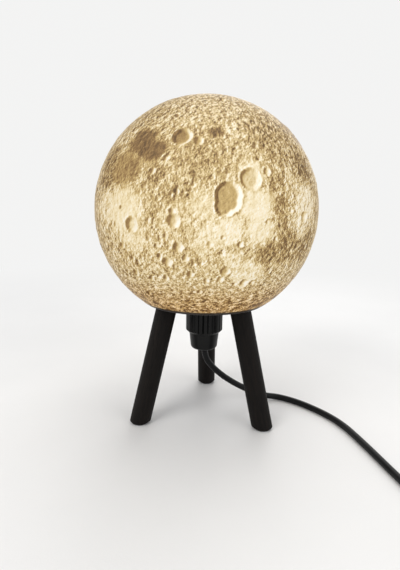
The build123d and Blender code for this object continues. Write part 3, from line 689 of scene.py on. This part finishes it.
def globeTree(material, sizes, nominal):
    tree, start, size = newTree("globe print", sizes)
    rise = (size["Radius"] * size["Radius"] - size["Opening"] * size["Opening"]).maths("SQRT")
    innerRadius = size["Radius"] - size["Wall"]

    def sheet(rows, around):
        grid = {"Size X": 1.0, "Size Y": 1.0, "Vertices X": around + 1, "Vertices Y": rows + 1}
        flat = start.node("GeometryNodeInputPosition")
        east = flat.part("X") * (2 * math.pi)
        east = east - east.maths("SINE") * globe["frontShare"]
        return start.node("GeometryNodeMeshGrid", {}, grid), east, flat.part("Y") + 0.5

    def outward(east, north):
        level = north.maths("COSINE")
        return start.node("ShaderNodeCombineXYZ", {}, {
            "X": level * east.maths("SINE"),
            "Y": 0 - level * east.maths("COSINE"),
            "Z": north.maths("SINE"),
        })

    def placed(mesh, where):
        return start.node("GeometryNodeSetPosition", {}, {"Geometry": mesh, "Position": where})

    # outer surface, with its relief
    mesh, east, share = sheet(globe["rows"], globe["around"])
    lowest = 0 - (size["Opening"] / size["Radius"]).maths("ARCCOSINE")
    way = outward(east, lowest + share * (math.pi / 2 - lowest))
    place = way.scaled(nominal)
    aboveCut = (place.part("Z") + rise).between(0.0, globe["edge"])
    height = relief(place, nominal) * size["Relief"] * aboveCut
    reach = size["Radius"] + height
    outer = placed(mesh, way.scaled(reach))

    # inner surface, plain
    mesh, east, share = sheet(globe["innerRows"], globe["around"])
    innerLowest = 0 - (rise / innerRadius).maths("ARCSINE")
    way = outward(east, innerLowest + share * (math.pi / 2 - innerLowest))
    inner = placed(mesh, way.scaled(innerRadius))
    inner = start.node("GeometryNodeFlipFaces", {}, {"Mesh": inner})

    # flat rim between them
    mesh, east, share = sheet(1, globe["around"])
    innerOpening = (innerRadius * innerRadius - rise * rise).maths("SQRT")
    width = innerOpening + share * (size["Opening"] - innerOpening)
    rim = placed(mesh, start.node("ShaderNodeCombineXYZ", {}, {
        "X": width * east.maths("SINE"),
        "Y": 0 - width * east.maths("COSINE"),
        "Z": 0 - rise,
    }))
    shell = start.node("GeometryNodeJoinGeometry", {}, {"Geometry": [outer, inner, rim]})
    shell = start.node("GeometryNodeMergeByDistance", {}, {"Geometry": shell, "Distance": 0.00002})

    # what the finish needs to know at each point
    here = start.node("GeometryNodeInputPosition")
    place = here.vector("NORMALIZE").scaled(nominal)
    pit, rim, inside, darker, lighter = overCraters(place, nominal)
    tone, calm = overGrounds(place, nominal)
    values = {
        "lit": facing(place, lambda point: relief(point, nominal), globe["step"]),
        "tone": tone * (1 - inside) - darker + lighter,
        "calm": inside.highest(calm),
    }
    for name, value in values.items():
        inputs = {"Geometry": shell, "Name": name, "Value": value}
        shell = start.node("GeometryNodeStoreNamedAttribute", {"data_type": "FLOAT"}, inputs)
    shell = start.node("GeometryNodeSetPosition", {}, {"Geometry": shell, "Offset": size["Centre"]})
    shell = start.node("GeometryNodeSetShadeSmooth", {}, {"Geometry": shell})
    closeTree(start, shell, material)
    return tree


# How the globe's print looks; heights are shares of the radius, from the centre up
look = {
    "glow": 0.80,
    "body": 0.50,
    "level": 0.555,  # place of plain ground among the stops
    # painted light: the lower half of the globe, nearer the bulb, is painted brighter
    "paintedLightLowerHalf": 0.03,  # how much brighter it is
    "paintedLightLowerHalfFrom": (0.2, -0.2),  # heights
    # painted shade: towards the cut the globe is painted darker and warmer, where less of the bulb's
    # light reaches
    "paintedShadeNearCut": 0.24,  # how much darker it is
    "paintedShadeNearCutFrom": (-0.50, -0.80),  # heights
    "paintedShadeNearCutTint": (1.0, 0.85, 0.68),
    "paintedShadeNearCutTintFrom": (-0.45, -0.80),  # heights
    "reliefShade": 1.1,
    "darkest": -0.36,
    "pebble": 0.0040,
    "pebbleHeight": 0.0032,
    "pebbleStep": 0.0004,
    "pebbleShade": 0.62,
    "thickness": 1.25,  # how much darker the high places are, as the light has more to go through
    "dimple": 0.0042,
    "dimpleEdge": (0.30, 0.08),  # shares of its size
    "dimpleShade": 0.20,
    "calmed": 0.75,
    "rougherSides": 0.95,
    "sidesFrom": (0.9, 0.4),  # shares of the radius, from the centre to the front
    "sidesTo": (-0.3, 0.3),
    "roughness": 0.60,
    "bump": 0.6,
    # painted shade: a dark band just above the cut, where the glow ends
    "lip": (0.0022, 0.0006),  # metres above the cut between which the glow ends
    "lipPaintedShadeColour": (0.022, 0.012, 0.006),
    "stops": (
        (0.0, (0.10, 0.055, 0.022)),
        (0.25, (0.275, 0.17, 0.07)),
        (0.5, (0.56, 0.42, 0.19)),
        (0.75, (0.84, 0.75, 0.535)),
        (1.0, (0.97, 0.96, 0.93)),
    ),
}


def globeMaterial(centre, radius, cut):
    # print lit from inside: thin places glow, thick ones stay tan, and the slopes read as shaded
    material, start = newMaterial("globe print")
    place = objectPlace(start, centre=centre)
    lit, tone, calm = [
        start.node("ShaderNodeAttribute", {"attribute_name": name}, output="Fac")
        for name in ("lit", "tone", "calm")
    ]
    north = place.part("Z") / radius
    wrinkled = place.part("Z").between(*globe["wrinkles"])
    spread = 1 - wrinkled * globe["wrinkleLength"]
    stretch = {"X": spread, "Y": spread, "Z": 1 + wrinkled * globe["wrinkleSquash"]}

    def drawnOut(point):
        return point.vector("MULTIPLY", start.node("ShaderNodeCombineXYZ", {}, stretch))

    def pebbles(point):
        return drawnOut(point).noise(1 / look["pebble"], 4, 0.74) * look["pebbleHeight"]

    def dimples(point):
        return drawnOut(point).cells(1 / look["dimple"]).between(*look["dimpleEdge"])

    pebbleLit = facing(place, pebbles, look["pebbleStep"]) * look["pebbleShade"]
    thin = (look["pebbleHeight"] / 2 - pebbles(place)) / look["pebbleHeight"]
    pebbleLit = pebbleLit + thin * look["thickness"] - dimples(place) * look["dimpleShade"]
    front = place.part("Y") / -radius
    sides = front.between(*look["sidesFrom"]) * front.between(*look["sidesTo"])
    rough = (1 - look["calmed"] * calm) * (1 + look["rougherSides"] * sides)
    rough = rough * (1 + globe["wrinkleDepth"] * wrinkled)
    # painted light: the glow is painted brighter over the lower half, nearer the bulb
    level = look["level"] + look["paintedLightLowerHalf"] * north.between(*look["paintedLightLowerHalfFrom"])
    # painted shade: darker near the cut
    level = level - look["paintedShadeNearCut"] * north.between(*look["paintedShadeNearCutFrom"])
    bright = level + tone + (lit * look["reliefShade"]).highest(look["darkest"]) + pebbleLit * rough
    colour = start.node("ShaderNodeValToRGB", {"stops": look["stops"]}, {0: bright})
    # painted shade: a warmer, darker tint near the cut
    tint = north.between(*look["paintedShadeNearCutTintFrom"])
    colour = tint.mixed(colour, colour.tinted(look["paintedShadeNearCutTint"]))
    # painted shade: the glow ends in a dark band just above the cut
    lip = (place.part("Z") - cut).between(*look["lip"])
    colour = lip.mixed(colour, look["lipPaintedShadeColour"])
    body = colour.tinted((look["body"],) * 3)
    finishSurface(start, principled(
        start, body, look["roughness"], pebbles(place), look["bump"],
        Emission_Color=colour, Emission_Strength=look["glow"],
        Coat_Weight=1.0, Coat_IOR=1.05, Coat_Roughness=0.3, Coat_Tint=(0.86, 0.82, 0.74, 1),
    ))
    return material


low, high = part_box("globe_shell")
globeRadius = (high.x - low.x) / 2
globeCentre = Vector((0, 0, high.z - globeRadius))
openingRadius = math.sqrt(globeRadius**2 - (globeCentre.z - low.z) ** 2)
globePrint = globeMaterial(globeCentre, globeRadius, low.z - globeCentre.z)
globeSizes = {
    "Radius": globeRadius,
    "Wall": globe["wall"],
    "Opening": openingRadius,
    "Relief": 1.0,
    "Centre": tuple(globeCentre),
}
shell = grow("globe", globeTree(globePrint, globeSizes, globeRadius), globeSizes)
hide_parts("globe_shell")
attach(shell, "globe")
print("globe made:", len(shell.data.vertices), "points,", len(shell.data.polygons), "faces")


# Cords

cord = {"diameter": 0.006, "order": 3, "roundness": 5, "smoothness": 10}

supplyRoute = [
    (0, 0, 0.0725),
    (0, 0, 0.056),
    (0.0095, 0.004, 0.0415),
    (0.024, 0.0105, 0.0275),
    (0.042, 0.018, 0.015),
    (0.061, 0.0245, 0.0052),
    (0.080, 0.0275, 0.003),
    (0.104, 0.0115, 0.003),
    (0.1295, -0.0185, 0.003),
    (0.142, -0.057, 0.003),
    (0.154, -0.102, 0.003),
    (0.1605, -0.124, 0.003),
    (0.175, -0.1375, 0.0046),
    (0.194, -0.142, 0.0075),
    (0.212, -0.142, 0.0075),
]
tailRoute = [
    (0.260, -0.142, 0.0075),
    (0.277, -0.142, 0.0075),
    (0.293, -0.1345, 0.0054),
    (0.3035, -0.120, 0.003),
    (0.307, -0.101, 0.003),
    (0.307, -0.084, 0.003),
]
endRoute = [
    (0.3035, -0.072, 0.0098),
    (0.3035, -0.0595, 0.0098),
    (0.3035, -0.046, 0.00685),
    (0.3035, -0.033, 0.00685),
]
coil = {
    "centre": (0.261, -0.078),
    "radius": 0.046,
    "pitch": 0.007,
    "layer": 0.0068,
    "halfTurnsIn": 6,
    "halfTurnsOut": 5,
    "climbInwards": 0.0014,
    "perHalfTurn": 8,
}


def coilStation(number):
    radius = coil["radius"] - coil["pitch"] / 2 * min(number, coil["halfTurnsIn"])
    level = cord["diameter"] / 2
    if number > coil["halfTurnsIn"]:
        radius += coil["pitch"] / 2 * (number - coil["halfTurnsIn"] - 1)
        level += coil["layer"]
    if number == coil["halfTurnsIn"] + 1:
        radius -= coil["climbInwards"]
    side = 1 if number % 2 == 0 else -1
    return Vector((coil["centre"][0] + side * radius, coil["centre"][1], level))


def coilPoints():
    # the spline touches the middle of each side of the polygon that its points make
    points = []
    steps = coil["perHalfTurn"]
    outside = 1 / math.cos(math.pi / (2 * steps))
    for number in range(coil["halfTurnsIn"] + 1 + coil["halfTurnsOut"]):
        first, last = coilStation(number), coilStation(number + 1)
        middle = (first + last) / 2
        reach = (first - middle).to_2d().length * outside
        begin = 0 if number % 2 == 0 else math.pi
        for step in range(steps):
            share = (step + 0.5) / steps
            turn = begin + math.pi * share
            level = first.z + (last.z - first.z) * share
            points.append((middle.x + reach * math.cos(turn), middle.y + reach * math.sin(turn), level))
    return points


def cordPiece(name, points, material):
    line = bpy.data.curves.new(name, "CURVE")
    line.dimensions = "3D"
    line.bevel_depth = cord["diameter"] / 2
    line.bevel_resolution = cord["roundness"]
    line.resolution_u = cord["smoothness"]
    line.use_fill_caps = True
    spline = line.splines.new("NURBS")
    spline.points.add(len(points) - 1)
    for held, point in zip(spline.points, points):
        held.co = (*point, 1)
    spline.order_u = cord["order"]
    spline.use_endpoint_u = True
    line.materials.append(material)
    piece = bpy.data.objects.new(name, line)
    bpy.context.scene.collection.objects.link(piece)
    return piece


cordSheath = plasticMaterial(
    "cord sheath", (0.004, 0.004, 0.0042), 0.42, grain=0.0004, height=0.00003, Specular_IOR_Level=0.17
)
supplyCord = cordPiece("supply_cord", supplyRoute, cordSheath)
mainsCord = cordPiece("mains_cord", tailRoute + coilPoints() + endRoute, cordSheath)
for piece in (supplyCord, mainsCord):
    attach(piece, "root")
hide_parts("cord_lead")
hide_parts("cord_tail", "cord_coil", "cord_end")
print("cords laid")


# Leg screws: countersunk heads with a cross recess, and their thread in the legs

screw = {
    "head": 0.0035,
    "shank": 0.00175,
    "core": 0.0013,
    "neck": 0.0055,  # depth under the face where the thread begins
    "point": 0.0025,
    "tip": 0.0001,
    "threadSize": 0.00042,
    "threadSteps": 24,  # in each turn
    "turns": 7.0,
    "recess": 0.0021,
    "recessEnd": 0.0005,
    "recessDepth": 0.0016,
    "above": 0.0001,  # how far the cutter starts above the face
    "blade": 0.26,  # width of an arm of the cross, as a share of its length
    "sides": 40,
    "seed": 3,
}


def screwTree(material, sizes):
    tree, start, size = newTree("leg screws", sizes)

    def moved(mesh, height, turn=0.0):
        place = start.node("ShaderNodeCombineXYZ", {}, {"Z": height})
        inputs = {"Geometry": mesh, "Translation": place, "Rotation": (0, 0, turn)}
        return start.node("GeometryNodeTransform", {}, inputs)

    # the turned body: a line down the axis with a radius at each of its points, of which the last
    # two are counted from the tip
    countersink = screw["head"] - screw["shank"]
    body = [
        (0.0, screw["head"]),
        (countersink, screw["shank"]),
        (screw["neck"], screw["shank"]),
        (screw["neck"] + screw["threadSize"], screw["core"]),
        (-screw["point"], screw["core"]),
        (0.0, screw["tip"]),
    ]
    fromTip = [0.0, 0.0, 0.0, 0.0, 1.0, 1.0]
    number = start.node("GeometryNodeInputIndex")
    depth = number.picked([down for down, radius in body]) + number.picked(fromTip) * size["Length"]
    line = start.node("GeometryNodeMeshLine", {}, {"Count": len(body)})
    line = start.node("GeometryNodeSetPosition", {}, {
        "Geometry": line, "Position": start.node("ShaderNodeCombineXYZ", {}, {"Z": 0 - depth}),
    })
    line = start.node("GeometryNodeMeshToCurve", {}, {"Mesh": line})
    circle = start.node("GeometryNodeCurvePrimitiveCircle", {}, {
        "Resolution": screw["sides"], "Radius": 1.0,
    })
    lathed = start.node("GeometryNodeCurveToMesh", {}, {
        "Curve": line,
        "Profile Curve": circle,
        "Scale": number.picked([radius for down, radius in body]),
        "Fill Caps": True,
    })

    # the cross: a star with four arms that narrows downwards
    star = start.node("GeometryNodeCurveStar", {}, {
        "Points": 4,
        "Inner Radius": screw["recess"] * screw["blade"] * math.sqrt(2) / (1 + screw["blade"]),
        "Outer Radius": screw["recess"],
    })
    drop = start.node("GeometryNodeCurvePrimitiveLine", {}, {
        "Start": (0, 0, screw["above"]), "End": (0, 0, -screw["recessDepth"]),
    })
    cross = start.node("GeometryNodeCurveToMesh", {}, {
        "Curve": drop,
        "Profile Curve": star,
        "Scale": number.picked([1.0, screw["recessEnd"] / screw["recess"]]),
        "Fill Caps": True,
    })
    cut = start.node("GeometryNodeMeshBoolean", {"operation": "DIFFERENCE"}, {
        "Mesh 1": lathed, "Mesh 2": cross,
    })

    # the thread: a spiral with a three-sided section
    spiral = start.node("GeometryNodeCurveSpiral", {}, {
        "Resolution": screw["threadSteps"],
        "Rotations": screw["turns"],
        "Start Radius": screw["core"],
        "End Radius": screw["core"],
        "Height": size["Length"] - screw["point"] - screw["neck"],
    })
    spiral = start.node("GeometryNodeSetCurveNormal", {"mode": "Z_UP"}, {"Curve": spiral})
    section = start.node("GeometryNodeCurvePrimitiveCircle", {}, {
        "Resolution": 3, "Radius": screw["threadSize"],
    })
    thread = start.node("GeometryNodeCurveToMesh", {}, {
        "Curve": spiral, "Profile Curve": section, "Fill Caps": True,
    })
    thread = moved(thread, 0 - size["Length"] + screw["point"])
    whole = start.node("GeometryNodeJoinGeometry", {}, {"Geometry": [cut, thread]})

    # one over each leg, each stopped at its own turn
    places = start.node("GeometryNodeMeshCircle", {}, {"Vertices": 3, "Radius": size["Circle"]})
    places = moved(places, size["Face"], turn=math.pi / 2)
    turns = start.node("FunctionNodeRandomValue", {"data_type": "FLOAT_VECTOR"}, {
        "Min": (0, 0, 0), "Max": (0, 0, 2 * math.pi), "Seed": screw["seed"],
    })
    made = start.node("GeometryNodeInstanceOnPoints", {}, {
        "Points": places, "Instance": whole, "Rotation": turns,
    })
    closeTree(start, made, material)
    return tree


zincSteel = metalMaterial("zinc steel", (0.62, 0.63, 0.64), 0.28)
low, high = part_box("leg_screws")
screwSizes = {"Length": high.z - low.z, "Circle": high.y - screw["head"], "Face": high.z}
legScrews = grow("leg_screws_cut", screwTree(zincSteel, screwSizes), screwSizes)
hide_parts("leg_screws")
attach(legScrews, "root")
print("screws made:", len(legScrews.data.polygons), "faces")


# Finishes of the pieces that keep their shape

legs = {
    "ways": {"leg_rear": 90, "leg_front_left": 210, "leg_front_right": 330},  # degrees from +X
    "top": 0.038,  # distance of the axis from the middle of the lamp
    "foot": 0.0659,
    "height": 0.1116,
}


def legAxis(degrees):
    lean = legs["foot"] - legs["top"]
    turn = math.radians(degrees)
    return Vector((-lean * math.cos(turn), -lean * math.sin(turn), legs["height"])).normalized()


def finish(material, *names):
    for name in names:
        nodes[name].data.materials.clear()
        nodes[name].data.materials.append(material)


for name, degrees in legs["ways"].items():
    finish(woodMaterial(name + " wood", legAxis(degrees)), name)
finish(
    plasticMaterial("holder plastic", (0.004, 0.004, 0.004), 0.36, Specular_IOR_Level=0.17),
    "lower_clamp_ring", "upper_clamp_ring", "holder_sleeve", "holder_cap",
)
finish(printedMaterial("plate print", (0.012, 0.0075, 0.0055), (0.034, 0.020, 0.014)), "base_plate")
finish(zincSteel, "terminal_screws", "grip_screw", "rocker_pin", "switch_screws")
finish(
    metalMaterial("contact brass", (0.78, 0.58, 0.28), 0.25),
    "contact_shell", "centre_contact", "switch_contacts",
)
finish(metalMaterial("bulb shell metal", (0.80, 0.79, 0.77), 0.22), "bulb_screw_shell", "bulb_tip")
finish(metalMaterial("pin metal", (0.78, 0.76, 0.71), 0.18, (1, 0.05, 1)), "plug_pins")
finish(plasticMaterial("contact ceramic", (0.78, 0.75, 0.68), 0.55, grain=0.0003), "contact_block")
finish(plasticMaterial("grip plastic", (0.68, 0.67, 0.62), 0.5), "cord_grip")
finish(plasticMaterial("bulb insulator glass", (0.02, 0.02, 0.024), 0.12), "bulb_insulator")
finish(plasticMaterial("bulb housing plastic", (0.80, 0.79, 0.75), 0.38), "bulb_housing")
finish(plasticMaterial("board white", (0.80, 0.80, 0.78), 0.35), "led_board")
finish(glowingMaterial("chip phosphor", (0.95, 0.74, 0.24), 0.5), "led_chips")
finish(glowingMaterial("bulb opal", (0.93, 0.86, 0.70), 0.45), "bulb_diffuser")
finish(
    plasticMaterial("switch plastic", (0.012, 0.012, 0.0125), 0.34, grain=0.0005, height=0.00005),
    "switch_base", "switch_cover",
)
finish(plasticMaterial("rocker plastic", (0.018, 0.018, 0.019), 0.22), "switch_rocker")
finish(
    plasticMaterial("plug plastic", (0.0125, 0.0125, 0.013), 0.42, grain=0.0005, height=0.00005),
    "plug_body",
)
print("finishes set")


# Floor, backdrop and light

stage = {
    "floor": (0.80, 0.79, 0.775),
    "backdrop": (0.90, 0.90, 0.895),
    "size": 30.0,
    "fadeFrom": 0.3,
    "fadeTo": 1.0,
    "patch": 1 / 6,  # size of the floor's faint patches
    "patchShade": 0.97,
    "grain": 1 / 700,
    "grainHeight": 0.0001,
    "roughness": 0.55,
    "sky": (0.95, 0.97, 1.0),
    "world": 0.55,
}


def isSeen(start):
    # 1 for what the camera sees, directly or in a gloss or through glass
    straight, gloss, through = [
        start.node("ShaderNodeLightPath", output=ray)
        for ray in ("Is Camera Ray", "Is Glossy Ray", "Is Transmission Ray")
    ]
    return straight.highest(gloss).highest(through)


def makeFloor(facts):
    material, start = newMaterial("floor")
    place = objectPlace(start)
    apart = place.vector("LENGTH", output="Value").between(facts["fadeFrom"], facts["fadeTo"])
    patches = place.noise(1 / facts["patch"], 4).between(*patchy)
    dark = tuple(part * facts["patchShade"] for part in facts["floor"])
    grain = place.noise(1 / facts["grain"], 3)
    shade = patches.mixed(dark, facts["floor"])
    matt = principled(start, shade, facts["roughness"], grain, facts["grainHeight"])
    far = start.node("ShaderNodeEmission", {}, {"Color": (*facts["backdrop"], 1), "Strength": 1.0})
    both = start.node("ShaderNodeMixShader", {}, {0: apart * isSeen(start), 1: matt, 2: far})
    finishSurface(start, both)
    mesh = bpy.data.meshes.new("floor")
    reach = facts["size"] / 2
    corners = [(-reach, -reach, 0), (reach, -reach, 0), (reach, reach, 0), (-reach, reach, 0)]
    mesh.from_pydata(corners, [], [(0, 1, 2, 3)])
    mesh.materials.append(material)
    floor = bpy.data.objects.new("floor", mesh)
    bpy.context.scene.collection.objects.link(floor)


def makeWorld(facts):
    world = bpy.data.worlds.new("studio")
    world.use_nodes = True
    world.node_tree.nodes.clear()
    start = Field(world.node_tree)
    seen = isSeen(start)
    colour = seen.mixed(facts["sky"], facts["backdrop"])
    strength = facts["world"] + seen * (1 - facts["world"])
    light = start.node("ShaderNodeBackground", {}, {"Color": colour, "Strength": strength})
    start.node("ShaderNodeOutputWorld", {}, {"Surface": light})
    bpy.context.scene.world = world


lamps = [  # name, place, size, watts
    ("key", (-0.9, -1.1, 1.3), 0.9, 13.0),
    ("fill", (1.2, -0.9, 0.9), 1.1, 6.0),
    ("top", (0.1, 0.3, 1.7), 1.2, 9.0),
    ("rear", (0.3, 1.3, 0.8), 1.0, 4.5),
]
lampAim = (0, 0, 0.15)


def makeLamps(rows):
    for name, place, size, watts in rows:
        light = bpy.data.lights.new(name, "AREA")
        light.size = size
        light.energy = watts
        lamp = bpy.data.objects.new(name, light)
        lamp.location = place
        lamp.rotation_euler = (Vector(lampAim) - Vector(place)).to_track_quat("-Z", "Y").to_euler()
        bpy.context.scene.collection.objects.link(lamp)


makeFloor(stage)
makeWorld(stage)
makeLamps(lamps)
bpy.context.scene.view_settings.view_transform = "Standard"
print("stage lit")
